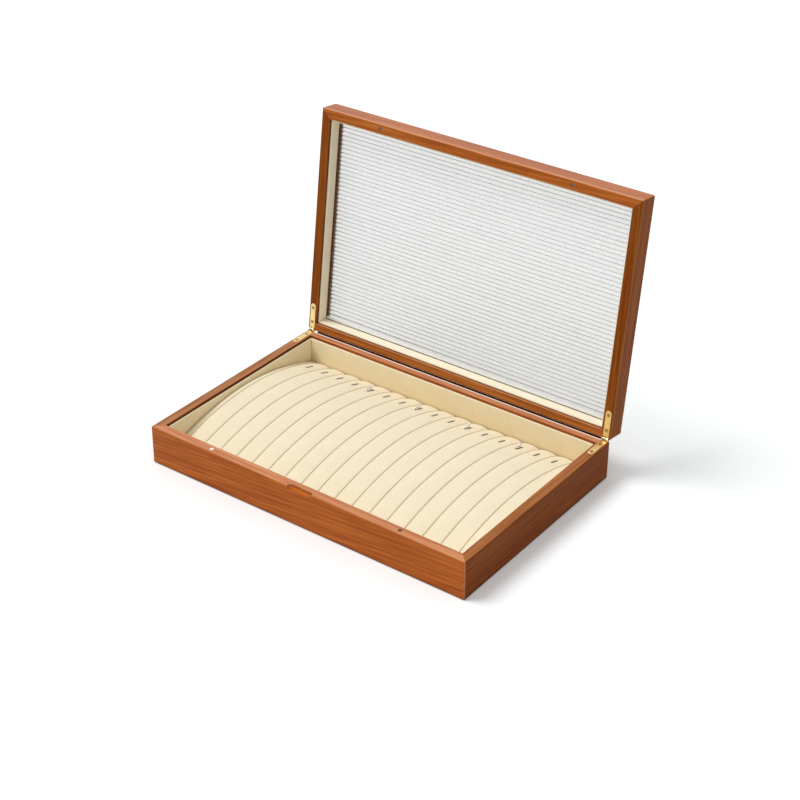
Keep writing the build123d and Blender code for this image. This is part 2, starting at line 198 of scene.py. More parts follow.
# Where the pad's cloth is divided, from its edges and from its grooves
PAD_EDGE_STEPS = tuple(step * MM for step in (0, 0.3, 0.8, 1.6, 3.0))
PAD_EDGE_MARGIN = 3.1 * MM
CHANNEL_STEPS = tuple(
    step * MM for step in (0, 0.25, 0.5, 0.85, 1.4, 2.4, 3.6, 5.2, 6.8, 8.0, 8.7)
)
PAD_LONG_ROWS = 42
LONG_ROWS_START = 6 * MM
PAD_BACK_ROWS = 3
BACK_ROWS_START = 5 * MM
SLIT_SHARES = (0.06, 0.2, 0.4, 0.6, 0.8, 0.94)
SLIT_NEAR_ROW = 0.8 * MM
SLIT_FAR_ROW = 2 * MM

# Swelling of the pad's cloth
CLOTH_STEP = 1.9 * MM
CLOTH_ROWS = 56
CLOTH_SCALE = 20
CLOTH_FRAMES = 16
CLOTH_SPARE = 0.001
CLOTH_PRESSURE = 2
CLOTH_STIFFNESS = 60
CLOTH_CAP = 1.1 * MM
CLOTH_UNEVEN = 0.12 * MM
CLOTH_UNEVEN_SIZE = 30 * MM
HOLD_REACH = 0.01 * MM
SLIT_HOLD = 1 * MM

# Floor, light and camera
FLOOR_HALF = 6
FLOOR_COLOUR = (0.64, 0.64, 0.64)
FLOOR_SEEN_COLOUR = (0.95, 0.98, 0.985)
FLOOR_GLOW = 0.12
ROOM_LIGHT = 0.54
ROOM_SEEN_LIGHT = 1.0
LAMP_STRENGTH = 1.65
LAMP_SPREAD = radians(26)
LAMP_DIRECTION = Vector((0.42, 0.23, -0.88))
CAMERA_PLACE = Vector((836.0, -1110.8, 917.8)) * MM
CAMERA_TARGET = Vector((-120.7, 162.4, 0)) * MM
CAMERA_LENS = 81.24
CAMERA_SHIFT = (0.025, -0.05)


# Places and forms

def opened():
    """Turn from the shut lid to the angle at which it rests."""
    there = Matrix.Translation(HINGE_LINE)
    return there @ Matrix.Rotation(-LID_TURN, 4, "X") @ there.inverted()


def piece_from(form, name, finish, body):
    """Turn a finished mesh form into a piece that rides on a body."""
    mesh = bpy.data.meshes.new(name)
    form.to_mesh(mesh)
    form.free()
    return piece_of(mesh, name, finish, body)


def piece_of(mesh, name, finish, body):
    """Piece with its place in its mesh, its finish and its body."""
    mesh.materials.clear()
    mesh.materials.append(finish)
    piece = bpy.data.objects.new(name, mesh)
    bpy.context.scene.collection.objects.link(piece)
    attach(piece, body)
    return piece


# Node helpers

def node(tree, kind, **settings):
    """New node with its settings."""
    made = tree.nodes.new(kind)
    for key, value in settings.items():
        setattr(made, key, value)
    return made


def put(made, values):
    """Fill a node's inputs, by their names or numbers, with plain values or with links."""
    for key, value in values.items():
        if isinstance(value, bpy.types.NodeSocket):
            made.id_data.links.new(value, made.inputs[key])
        else:
            made.inputs[key].default_value = value
    return made


def new_finish(name):
    """Empty material with its shader, ready for a pattern."""
    finish = bpy.data.materials.new(name)
    finish.use_nodes = True
    tree = finish.node_tree
    return finish, tree, tree.nodes["Principled BSDF"]


def counted(tree, operation, *values):
    """Result of a sum with one or two values or patterns."""
    made = node(tree, "ShaderNodeMath", operation=operation)
    return put(made, dict(enumerate(values))).outputs[0]


def counted_places(tree, operation, *values):
    """Result of a sum with one or two places or directions."""
    made = node(tree, "ShaderNodeVectorMath", operation=operation)
    put(made, dict(enumerate(values)))
    return made.outputs["Value" if operation in ("DOT_PRODUCT", "LENGTH") else "Vector"]


def parts_of(tree, place):
    """Parts of a place or direction along X, Y and Z."""
    return put(node(tree, "ShaderNodeSeparateXYZ"), {0: place}).outputs


def place_from(tree, parts):
    """Place or direction made from its parts along X, Y and Z."""
    return put(node(tree, "ShaderNodeCombineXYZ"), parts).outputs[0]


def object_place(tree):
    """Coordinates in the object's own frame."""
    return node(tree, "ShaderNodeTexCoord").outputs["Object"]


def mapped(tree, place, values):
    """Coordinates or directions after a turn or a stretch."""
    return put(node(tree, "ShaderNodeMapping"), {"Vector": place, **values}).outputs["Vector"]


def stretched(tree, place, stretch):
    """Coordinates stretched along the grain."""
    return mapped(tree, place, {"Scale": stretch})


def turned(tree, turn, stretch):
    """Object coordinates turned along the grain and then stretched."""
    return stretched(tree, mapped(tree, object_place(tree), {"Rotation": turn}), stretch)


def evenly_scaled(tree, scale):
    """Object coordinates stretched alike in all directions."""
    return turned(tree, NO_TURN, (scale, scale, scale))


def noise(tree, where, detail, roughness=0.5):
    """Cloudy pattern over given coordinates."""
    made = node(tree, "ShaderNodeTexNoise")
    put(made, {"Vector": where, "Scale": 1.0, "Detail": detail, "Roughness": roughness})
    return made.outputs["Fac"]


def painted(tree, name):
    """Pattern that the piece's own mesh carries."""
    return node(tree, "ShaderNodeAttribute", attribute_name=name).outputs["Fac"]


def mixed(tree, share, first, second, way="MIX", kind="RGBA"):
    """Mix of two colours, places or patterns by a pattern or a fixed share."""
    made = node(tree, "ShaderNodeMix", data_type=kind, blend_type=way)
    numbers = [number for number, entry in enumerate(made.inputs) if entry.enabled]
    both = [(*value, 1) if isinstance(value, tuple) else value for value in (first, second)]
    put(made, dict(zip(numbers, (share, *both))))
    return [entry for entry in made.outputs if entry.enabled][0]


def blend_of(tree, first, second, share):
    """Mix of two patterns by a fixed share."""
    return mixed(tree, share, first, second, kind="FLOAT")


def colours(tree, pattern, stops):
    """Colour band driven by a pattern."""
    made = put(node(tree, "ShaderNodeValToRGB"), {"Fac": pattern})
    band = made.color_ramp
    while len(band.elements) < len(stops):
        band.elements.new(0.5)
    for element, (place, colour) in zip(band.elements, stops):
        element.position = place
        element.color = (*colour, 1)
    return made.outputs["Color"]


def ranged(tree, pattern, low, high):
    """Pattern spread between two values."""
    made = node(tree, "ShaderNodeMapRange")
    return put(made, {"Value": pattern, "To Min": low, "To Max": high}).outputs["Result"]


def stepped(tree, pattern, start, full):
    """0 where a pattern hasn't reached one value and 1 where it is past another."""
    made = node(tree, "ShaderNodeMapRange")
    return put(made, {"Value": pattern, "From Min": start, "From Max": full}).outputs["Result"]


def bumped(tree, shader, pattern, strength, height):
    """Raise the surface a little by a pattern."""
    made = node(tree, "ShaderNodeBump")
    put(made, {"Strength": strength, "Distance": height, "Height": pattern})
    put(shader, {"Normal": made.outputs["Normal"]})


# Where a spot lies on its piece

def facing(tree, turn):
    """Which way the surface faces, turned so that a piece's sides are square."""
    way = node(tree, "ShaderNodeTexCoord").outputs["Normal"]
    return mapped(tree, way, {"Rotation": turn})


def on_edges(tree, way):
    """How far a spot lies on the rounding of an edge, from 0 to 1."""
    parts = parts_of(tree, way)
    swapped = place_from(tree, {"X": parts["Y"], "Y": parts["Z"], "Z": parts["X"]})
    size = counted_places(tree, "ABSOLUTE", counted_places(tree, "MULTIPLY", way, swapped))
    return counted_places(tree, "DOT_PRODUCT", size, (2, 2, 2))


def painted_corner_shade(tree, reach, darkest):
    """Painted shade in corners and recesses, darker where a spot is more hidden."""
    hidden = put(node(tree, "ShaderNodeAmbientOcclusion", samples=8), {"Distance": reach})
    return ranged(tree, hidden.outputs["AO"], darkest, 1)


def risen(tree, axis, start, full):
    """0 below one height or depth and 1 above another, in the object's own frame."""
    return stepped(tree, parts_of(tree, object_place(tree))[axis], start, full)


def painted_knuckle_shade(tree):
    """Painted shade in dark blotches round the hinge line, standing in for the dark reflections
    between the knuckles.
    """
    from_line = counted_places(tree, "SUBTRACT", object_place(tree), HINGE_LINE)
    reach = counted_places(tree, "LENGTH", stretched(tree, from_line, (0, 1, 1)))
    near = stepped(tree, reach, KNUCKLE_REACH, 0.8 * KNUCKLE_REACH)
    blotches = stepped(tree, noise(tree, evenly_scaled(tree, BLOTCH_SCALE), 1), 0.45, 0.55)
    return counted(tree, "MULTIPLY", near, blotches)


# Wood

def along_grain(tree, turn, slope, level):
    """Object coordinates along the grain, which slopes on a rail's sides but not on its top."""
    straight = mapped(tree, object_place(tree), {"Rotation": turn})
    sloping = mapped(tree, straight, {"Rotation": (0, slope, 0)})
    return mixed(tree, level, sloping, straight, kind="VECTOR")


def growth_rings(tree, place):
    """Close parallel lines of the grain, wandering a little along the rail."""
    rings = node(tree, "ShaderNodeTexWave", wave_type="BANDS", bands_direction="DIAGONAL")
    put(rings, {"Vector": stretched(tree, place, (0.05, 1, 1)), "Scale": WAVE_LENGTH / RING_PITCH})
    put(rings, {"Distortion": 5, "Detail": 2, "Detail Scale": 0.5})
    return rings.outputs["Fac"]


def wood_colour(tree, place, streaks, tone):
    """Colour of the wood along its grain."""
    figure = noise(tree, stretched(tree, place, FIGURE_STRETCH), 2)
    grain = blend_of(tree, streaks, figure, 0.3)
    grain = blend_of(tree, grain, growth_rings(tree, place), 0.08)
    toned = [(spot, tuple(map(mul, colour, tone))) for spot, colour in WOOD_COLOURS]
    return colours(tree, grain, toned)


def rim_sheen_and_line(tree, wood, painted_highlight, streaks, upward, upright, rim):
    """Wood with a streaky painted sheen on the top of its rim, and with a dark line along the
    rim's edges.
    """
    at_rim = risen(tree, "Z", RIM_LINE_START, RIM_LINE_FULL)
    # Painted sheen: the rim's top is made paler, in streaks.
    top = ranged(tree, counted(tree, "MULTIPLY", at_rim, upward), 0, rim)
    streaky = counted(tree, "MULTIPLY", top, ranged(tree, streaks, *RIM_STREAKS))
    wood = mixed(tree, streaky, wood, painted_highlight)
    line = ranged(tree, counted(tree, "MULTIPLY", at_rim, upright), 0, RIM_LINE_SHARE)
    return mixed(tree, line, wood, RIM_LINE_COLOUR)


def lacquered_wood(
    name, turn, square, slope=0.0, tone=(1.0, 1.0, 1.0), painted_highlight=(0.90, 0.55, 0.35),
    rim=0.0, back=0.0, gloss=0.2,
):
    """Reddish brown wood under satin lacquer, with its grain along one rail."""
    finish, tree, shader = new_finish(name)
    parts = parts_of(tree, facing(tree, square))
    upward = parts["Z"]
    level = counted(tree, "ABSOLUTE", upward)
    upright = counted(tree, "SUBTRACT", 1.0, level)
    corner = counted(tree, "ABSOLUTE", counted(tree, "MULTIPLY", parts["X"], parts["Y"]))
    place = along_grain(tree, turn, slope, level)
    streaks = noise(tree, stretched(tree, place, STREAK_STRETCH), 4, 0.65)
    wood = wood_colour(tree, place, streaks, tone)
    # Painted highlight along the upright corner edges.
    wood = mixed(tree, ranged(tree, corner, *CORNER_HIGHLIGHT), wood, painted_highlight)
    if rim:
        wood = rim_sheen_and_line(tree, wood, painted_highlight, streaks, upward, upright, rim)
    else:
        # Painted highlight along the rounded edges beside faces that point down in the shut pose,
        # such as the lid's rim.
        arris = counted(tree, "MULTIPLY", upward, ARRIS_HIGHLIGHT)
        wood = mixed(tree, counted(tree, "MULTIPLY", arris, upright), wood, painted_highlight)
    # Painted shade: the wood is darkened in its corners and recesses.
    corner_shade = painted_corner_shade(tree, CORNER_SHADE_REACH, CORNER_SHADE_DARKEST)
    wood = mixed(tree, 1.0, wood, corner_shade, "MULTIPLY")
    # Painted highlight along the back rail's rear top edge.
    if back:
        edge = risen(tree, "Y", BACK_EDGE_START, BACK_EDGE_FULL)
        pale = ranged(tree, counted(tree, "MULTIPLY", edge, upward), 0, back)
        wood = mixed(tree, pale, wood, BACK_EDGE_HIGHLIGHT)
    dull = counted(tree, "MULTIPLY", counted(tree, "MULTIPLY", upward, DULL_ARRIS), upright)
    dull = counted(tree, "MAXIMUM", dull, counted(tree, "MULTIPLY", corner, DULL_CORNER))
    rough = counted(tree, "MAXIMUM", dull, ranged(tree, streaks, *LACQUER_ROUGHNESS))
    put(shader, {"Base Color": wood, "Roughness": rough})
    put(shader, {"Specular IOR Level": gloss, "Specular Tint": LACQUER_TINT})
    bumped(tree, shader, noise(tree, stretched(tree, place, PORE_STRETCH), 2), 0.1, 0.1 * MM)
    return finish


# Cloth, metal, plain boards and the clear panel

def cream_cloth(name, colour, square=NO_TURN, edge_highlight=0.0):
    """Fine cream cloth with a soft nap, with painted shade where it is pressed in and on the walls
    of the slits, and a painted highlight along its rounded edges.
    """
    finish, tree, shader = new_finish(name)
    place = object_place(tree)
    threads = []
    for direction in ("X", "Y"):
        wave = node(tree, "ShaderNodeTexWave", bands_direction=direction)
        put(wave, {"Vector": place, "Scale": WEAVE_SCALE})
        put(wave, {"Distortion": 1.2, "Detail": 1, "Detail Scale": 0.6})
        threads.append(wave.outputs["Fac"])
    weave = blend_of(tree, *threads, 0.5)
    mottle = noise(tree, evenly_scaled(tree, MOTTLE_SCALE), 4, 0.6)
    nap = noise(tree, evenly_scaled(tree, NAP_SCALE), 3, 0.6)
    look = blend_of(tree, blend_of(tree, mottle, nap, 0.6), weave, 0.2)
    deep = tuple(part * DEEP_CLOTH for part in colour)
    pale = tuple(min(part * PALE_CLOTH, 1) for part in colour)
    cloth = colours(tree, look, [(0.25, deep), (0.5, colour), (0.75, pale)])
    # Painted shade where the pad is pressed in: grooves, side and back edges and slit rims.
    cloth = mixed(tree, painted(tree, "pressed"), cloth, PRESSED_SHADE, "MULTIPLY")
    # Painted shade on the walls of the slits.
    cloth = mixed(tree, painted(tree, "slit"), cloth, SLIT_SHADE_COLOUR)
    # Painted highlight along the cloth's rounded edges.
    painted_highlight = ranged(tree, on_edges(tree, facing(tree, square)), 0, edge_highlight)
    cloth = mixed(tree, painted_highlight, cloth, CLOTH_EDGE_HIGHLIGHT)
    put(shader, {"Base Color": cloth, "Roughness": ranged(tree, nap, *NAP_ROUGHNESS)})
    put(shader, {"Sheen Weight": 0.15, "Sheen Roughness": 0.5, "Specular IOR Level": 0.2})
    bumped(tree, shader, blend_of(tree, weave, nap, 0.5), 0.25, 0.12 * MM)
    return finish


def metal(name, colour, roughness, scratch, knuckles=None):
    """Turned and polished metal with fine brush marks, and painted shade in a hinge's knuckles."""
    finish, tree, shader = new_finish(name)
    brush = noise(tree, turned(tree, NO_TURN, scratch), 3)
    tarnish = noise(tree, evenly_scaled(tree, TARNISH_SCALE), 3)
    dull = tuple(part * DULL_METAL for part in colour)
    tone = colours(tree, blend_of(tree, tarnish, brush, 0.3), [(0.3, dull), (0.6, colour)])
    if knuckles:
        # Painted shade in dark blotches round the hinge line.
        tone = mixed(tree, painted_knuckle_shade(tree), tone, knuckles)
    rough = ranged(tree, brush, roughness * 0.8, roughness * 1.3)
    put(shader, {"Base Color": tone, "Roughness": rough, "Metallic": 1.0})
    bumped(tree, shader, brush, 0.1, 0.03 * MM)
    return finish


def plain_board(name, dark, light, turn=NO_TURN, gloss=0.5):
    """Unfinished board or thin strip with short fibres."""
    finish, tree, shader = new_finish(name)
    fibre = noise(tree, turned(tree, turn, FIBRE_STRETCH), 3, 0.6)
    fleck = noise(tree, turned(tree, turn, FLECK_STRETCH), 2)
    tone = colours(tree, blend_of(tree, fibre, fleck, 0.3), [(0.3, dark), (0.7, light)])
    put(shader, {"Base Color": tone, "Roughness": ranged(tree, fleck, *BOARD_ROUGHNESS)})
    put(shader, {"Specular IOR Level": gloss})
    bumped(tree, shader, fleck, 0.2, 0.1 * MM)
    return finish


def let_lamps_through(tree, shader):
    """Let lamp light pass the panel, so that it reaches what is behind it."""
    clear = put(node(tree, "ShaderNodeBsdfTransparent"), {"Color": LAMP_SHARE})
    shadow = node(tree, "ShaderNodeLightPath").outputs["Is Shadow Ray"]
    both = node(tree, "ShaderNodeMixShader")
    put(both, {0: shadow, 1: shader.outputs[0], 2: clear.outputs[0]})
    put(tree.nodes["Material Output"], {"Surface": both.outputs[0]})


def ribbed_glass(name):
    """Clear ribbed panel, with painted dark lines where its ribs meet and painted brown beside the
    lid's wooden lip, standing in for what the ribs refract.
    """
    finish, tree, shader = new_finish(name)
    haze = noise(tree, turned(tree, NO_TURN, HAZE_STRETCH), 2)
    depth = blend_of(tree, painted(tree, "valley"), haze, 0.15)
    # Painted dark lines where the ribs meet, standing in for their refraction.
    tone = colours(tree, depth, [(0.08, RIB_CREST_COLOUR), (0.7, RIB_VALLEY_COLOUR)])
    # Painted brown at the sides, where the lid's wooden lip shows through the ribs.
    sides = [risen(tree, "X", side * PAINTED_LIP_START, side * PAINTED_LIP_FULL) for side in (-1, 1)]
    tone = mixed(tree, counted(tree, "MAXIMUM", *sides), tone, PAINTED_LIP_COLOUR)
    put(shader, {"Base Color": tone, "Roughness": ranged(tree, haze, *PANEL_ROUGHNESS)})
    put(shader, {"Transmission Weight": 0.85, "IOR": 1.49, "Specular IOR Level": 0.2})
    let_lamps_through(tree, shader)
    return finish


# Finishes of this box

wood_along_width = lacquered_wood(
    "wood along the width", NO_TURN, NO_TURN, GRAIN_SLOPE, rim=0.27,
)
back_rail_wood = lacquered_wood(
    "wood of the back rail", NO_TURN, NO_TURN, GRAIN_SLOPE, rim=0.34, back=0.98,
)
# The rails along the depth take darker copies of the same wood: painted shade, for how their grain
# catches less light than the rails along the width.
left_rail_wood = lacquered_wood(
    "wood of the left rail", ALONG_DEPTH, NO_TURN,
    tone=(0.5, 0.5, 0.5), painted_highlight=(0.80, 0.43, 0.22), rim=0.33, gloss=0.04,
)
right_rail_wood = lacquered_wood(
    "wood of the right rail", ALONG_DEPTH, NO_TURN,
    tone=(0.51, 0.51, 0.51), painted_highlight=(0.70, 0.33, 0.15), rim=0.27, gloss=0.04,
)
lid_wood_along_width = lacquered_wood(
    "lid wood along the width", LID_SQUARE, LID_SQUARE, GRAIN_SLOPE, tone=(0.92, 1.0, 1.3),
)
lid_back_rail_wood = lacquered_wood(
    "wood of the lid's back rail", LID_SQUARE, LID_SQUARE, GRAIN_SLOPE, tone=(0.84, 1.08, 1.7),
)
# Darker copy for the lid's rails along the depth: painted shade, as for the base's side rails.
lid_wood_along_depth = lacquered_wood(
    "lid wood along the depth", LID_ALONG_DEPTH, LID_SQUARE,
    tone=(0.55, 0.61, 0.8), painted_highlight=(0.55, 0.24, 0.09), gloss=0.03,
)
pad_cloth = cream_cloth("cream pad cloth", (0.925, 0.82, 0.605))
# The base and the lid are lined with one cloth in two copies: the base's copy is painted darker
# and yellower as shade, the lid's copy is lighter.
base_lining_cloth = cream_cloth(
    "cream base lining cloth", (0.90, 0.75, 0.47), NO_TURN, edge_highlight=0.6,
)
lid_lining_cloth = cream_cloth(
    "cream lid lining cloth", (0.98, 0.87, 0.66), LID_SQUARE, edge_highlight=0.6,
)
brass = metal(
    "polished brass", (0.93, 0.70, 0.32), 0.34, (500, 120, 500), knuckles=(0.10, 0.05, 0.015),
)
screw_brass = metal("brass of the screws", (0.52, 0.37, 0.13), 0.4, (700, 700, 700))
bright_steel = metal("bright steel", (0.86, 0.86, 0.85), 0.16, (60, 900, 900))
magnet_plate = metal("nickel plate of the magnets", (0.97, 0.94, 0.91), 0.3, (800, 800, 800))
# Painted shade and reflection: a darker copy of the magnet plate, for the shade in the lid's
# magnet recesses and the dark wood that the base's right magnet reflects.
shaded_magnet_plate = metal("magnet plate painted dark as shade and reflected wood", (0.20, 0.13, 0.09), 0.35, (800, 800, 800))
bottom_board = plain_board("bottom board", (0.33, 0.19, 0.09), (0.50, 0.32, 0.17))
hard_board = plain_board("curved board", (0.30, 0.20, 0.11), (0.46, 0.33, 0.20))
bearer_wood = plain_board("bearer wood", (0.47, 0.31, 0.17), (0.66, 0.48, 0.30), ALONG_DEPTH)
# Painted shade: the hook rail is made nearly black so that the slits above it look dark.
rail_wood = plain_board(
    "hook rail wood painted dark as shade under the slits", (0.03, 0.025, 0.02), (0.07, 0.055, 0.045),
)
# Painted shade: a dark strip that darkens the hinge gap under the open lid.
gap_shade_finish = plain_board(
    "dark strip of painted shade in the hinge gap", (0.030, 0.010, 0.004), (0.060, 0.022, 0.009), gloss=0.05,
)
seal_white = plain_board("white panel seal", (0.86, 0.86, 0.84), (0.96, 0.96, 0.95))
panel_glass = ribbed_glass("ribbed clear panel")


# Carried-over solids

def give(names, finish):
    """Give solids their finish."""
    for name in names:
        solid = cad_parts[name]
        solid.data.materials.clear()
        solid.data.materials.append(finish)


give(["base_front_rail"], wood_along_width)
give(["base_back_rail"], back_rail_wood)
give(["base_left_rail"], left_rail_wood)
give(["base_right_rail"], right_rail_wood)
give(["lid_front_rail"], lid_wood_along_width)
give(["lid_back_rail"], lid_back_rail_wood)
give(["lid_left_rail", "lid_right_rail"], lid_wood_along_depth)
give(["base_bottom_panel"], bottom_board)
give(["pad_board"], hard_board)
give([f"pad_bearer_{number}" for number in range(1, 6)], bearer_wood)
give(["hook_rail"], rail_wood)
give(["hook_rod"], bright_steel)
give([f"necklace_hook_{number:02d}" for number in range(1, CHANNEL_COUNT + 1)], bright_steel)
for hinge_side in ("left", "right"):
    leaves = [f"hinge_{hinge_side}_{part}" for part in ("base_leaf", "lid_leaf", "pin")]
    give(leaves, brass)
give(["base_hinge_screws", "lid_hinge_screws"], screw_brass)
give(["base_left_magnet"], magnet_plate)
# These magnets take the darker copy, as painted shade and reflection.
give(["base_right_magnet", "lid_left_magnet", "lid_right_magnet"], shaded_magnet_plate)


# Lining boards and thin strips

def rounded_strip(low, high, edge):
    """Straight board or strip between two corners, with rounded edges."""
    form = bmesh.new()
    middle = (Vector(low) + Vector(high)) / 2
    size = Vector(high) - Vector(low)
    place = Matrix.Translation(middle) @ Matrix.Diagonal((*size, 1))
    bmesh.ops.create_cube(form, size=1, matrix=place)
    bmesh.ops.bevel(
        form, geom=list(form.edges), offset=edge, segments=4, profile=0.5, affect="EDGES",
    )
    for face in form.faces:
        face.smooth = True
    return form


def liner(name, low, high, turn, body, cloth):
    """Board with its cloth pulled round its edges."""
    form = rounded_strip(low, high, LINER_ROUND)
    form.transform(turn)
    made = piece_from(form, f"cloth_{name}", cloth, body)
    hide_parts(name)
    return made


def line_frame(prefix, low, high, turn, cloth):
    """Four lining boards round the inside of the base or the lid."""
    outer_x = INNER_X - LINER_GAP
    front = INNER_FRONT + LINER_GAP
    back = INNER_BACK - LINER_GAP
    lined_x = INNER_X - LINER_THICKNESS
    between = lined_x - LINER_GAP
    lined_front = INNER_FRONT + LINER_THICKNESS
    lined_back = INNER_BACK - LINER_THICKNESS
    boards = {
        "left": ((-outer_x, front, low), (-lined_x, back, high)),
        "right": ((lined_x, front, low), (outer_x, back, high)),
        "front": ((-between, front, low), (between, lined_front, high)),
        "back": ((-between, lined_back, low), (between, back, high)),
    }
    for side, (start, end) in boards.items():
        liner(f"{prefix}_{side}_liner", start, end, turn, prefix, cloth)


line_frame("base", *BASE_LINER, Matrix.Identity(4), base_lining_cloth)
line_frame("lid", *LID_LINER, opened(), lid_lining_cloth)


def make_gap_shade_strip():
    """Dark strip behind the base, put there as painted shade that darkens the gap under the open
    lid.
    """
    back = BOX_DEPTH / 2
    low = (-SHADE_STRIP_HALF, back, SHADE_STRIP_LOW)
    high = (SHADE_STRIP_HALF, back + SHADE_STRIP_OUT, SHADE_STRIP_LOW + SHADE_STRIP_HEIGHT)
    form = rounded_strip(low, high, STRIP_ROUND)
    return piece_from(form, "hinge_gap_shade_strip", gap_shade_finish, "base")


def make_seal_strip():
    """White sealing strip on the panel, along the lid's hinge side."""
    low = (-SEAL_HALF, SEAL_FRONT, PANEL_CREST - SEAL_THICKNESS)
    high = (SEAL_HALF, SEAL_BACK, PANEL_CREST)
    form = rounded_strip(low, high, SEAL_THICKNESS / 3)
    form.transform(opened())
    return piece_from(form, "white_panel_seal", seal_white, "lid")


make_gap_shade_strip()
make_seal_strip()


# Ribbed panel

def panel_tree():
    """Node tree of a panel with round ribs side by side on one face."""
    tree = bpy.data.node_groups.new("round ribs on a panel", "GeometryNodeTree")
    for name, kind in PANEL_INPUTS:
        tree.interface.new_socket(name, in_out="INPUT", socket_type=f"NodeSocket{kind}")
    tree.interface.new_socket("Panel", in_out="OUTPUT", socket_type="NodeSocketGeometry")
    sizes = node(tree, "NodeGroupInput").outputs
    depth = counted(tree, "MULTIPLY", sizes["Rib pitch"], sizes["Rib count"])
    steps = counted(tree, "MULTIPLY", sizes["Rib count"], sizes["Steps"])
    grid = node(tree, "GeometryNodeMeshGrid")
    put(grid, {"Size X": sizes["Width"], "Size Y": depth})
    put(grid, {"Vertices X": 2, "Vertices Y": counted(tree, "ADD", steps, 1)})

    parts = parts_of(tree, node(tree, "GeometryNodeInputPosition").outputs[0])
    from_edge = counted(tree, "ADD", parts["Y"], counted(tree, "MULTIPLY", depth, 0.5))
    along = counted(tree, "DIVIDE", from_edge, sizes["Rib pitch"])
    twice = counted(tree, "MULTIPLY", counted(tree, "FRACT", along), 2)
    across = counted(tree, "SUBTRACT", twice, 1)
    hollow = counted(tree, "MULTIPLY", across, across)
    dip = place_from(tree, {"Z": counted(tree, "MULTIPLY", hollow, sizes["Rib rise"])})
    shape = node(tree, "GeometryNodeSetPosition")
    put(shape, {"Geometry": grid.outputs["Mesh"], "Offset": dip})
    valley = node(tree, "GeometryNodeStoreNamedAttribute", data_type="FLOAT", domain="POINT")
    put(valley, {"Geometry": shape.outputs[0], "Name": "valley"})
    put(valley, {"Value": counted(tree, "POWER", hollow, 8)})

    thick = node(tree, "GeometryNodeExtrudeMesh", mode="FACES")
    put(thick, {"Mesh": valley.outputs[0], "Offset": place_from(tree, {"Z": sizes["Thickness"]})})
    put(thick, {"Offset Scale": 1.0, "Individual": False})
    level = place_from(tree, {"X": parts["X"], "Y": parts["Y"], "Z": sizes["Thickness"]})
    flat = node(tree, "GeometryNodeSetPosition")
    put(flat, {"Geometry": thick.outputs["Mesh"], "Selection": thick.outputs["Top"]})
    put(flat, {"Position": level})
    ribs = put(node(tree, "GeometryNodeFlipFaces"), {"Mesh": valley.outputs[0]})
    both = node(tree, "GeometryNodeJoinGeometry")
    for side in (flat, ribs):
        put(both, {0: side.outputs[0]})
    closed = node(tree, "GeometryNodeMergeByDistance")
    put(closed, {"Geometry": both.outputs[0], "Distance": 0.001 * MM})
    real = put(node(tree, "GeometryNodeRealizeInstances"), {0: closed.outputs[0]})
    finish = node(tree, "GeometryNodeSetMaterial")
    put(finish, {"Geometry": real.outputs[0], "Material": sizes["Finish"]})
    put(node(tree, "NodeGroupOutput"), {"Panel": finish.outputs[0]})
    return tree


def from_tree(tree, values):
    """Plain mesh that a node tree makes from named values."""
    holder = bpy.data.objects.new("holder", bpy.data.meshes.new("holder"))
    bpy.context.scene.collection.objects.link(holder)
    maker = holder.modifiers.new("maker", "NODES")
    maker.node_group = tree
    for socket in tree.interface.items_tree:
        if socket.in_out == "INPUT":
            maker[socket.identifier] = values[socket.name]
    ready = holder.evaluated_get(bpy.context.evaluated_depsgraph_get())
    mesh = bpy.data.meshes.new_from_object(ready)
    bpy.data.objects.remove(holder)
    return mesh


def make_panel():
    """Ribbed panel in the lid's rebate, its ribs on the inner face."""
    count = int((PANEL_BACK - PANEL_FRONT) / RIB_PITCH)
    mesh = from_tree(panel_tree(), {
        "Width": 2 * PANEL_X, "Rib pitch": (PANEL_BACK - PANEL_FRONT) / count, "Rib count": count,
        "Rib rise": RIB_RISE, "Thickness": PANEL_OUTSIDE - PANEL_CREST, "Steps": RIB_STEPS,
        "Finish": panel_glass,
    })
    middle = (PANEL_FRONT + PANEL_BACK) / 2
    mesh.transform(opened() @ Matrix.Translation((0, middle, PANEL_CREST)))
    form = bmesh.new()
    form.from_mesh(mesh)
    bmesh.ops.recalc_face_normals(form, faces=list(form.faces))
    form.to_mesh(mesh)
    form.free()
    panel = piece_of(mesh, "ribbed_clear_panel", panel_glass, "lid")
    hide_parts("ribbed_panel")
    return panel


make_panel()


# Necklace pad

def groove_places():
    """Lines of the pressed grooves."""
    return [FIRST_GROOVE + CHANNEL_PITCH * number for number in range(CHANNEL_COUNT)]


def channel_edges():
    """Lines between which the cloth can swell: the pad's sides and the grooves."""
    return [-PAD_X, *groove_places(), PAD_X]


def from_slit(x):
    """Distance across the channels to the middle of the nearest slit."""
    return min(abs(x - (groove + CHANNEL_PITCH / 2)) for groove in groove_places())


def even_steps(start, end, count):
    """Evenly spaced values from a start to an end, with both of them."""
    return [start + (end - start) * number / count for number in range(count + 1)]


def pad_columns():
    """Where the pad's cloth is divided across the channels."""
    columns = set()
    for edge in PAD_EDGE_STEPS:
        columns |= {-PAD_X + edge, PAD_X - edge}
    for x in groove_places():
        for step in CHANNEL_STEPS:
            places = (x - step, x + step, x + CHANNEL_PITCH - step)
            columns |= {place for place in places if abs(place) < PAD_X - PAD_EDGE_MARGIN}
    return sorted({round(x, 7) for x in columns})


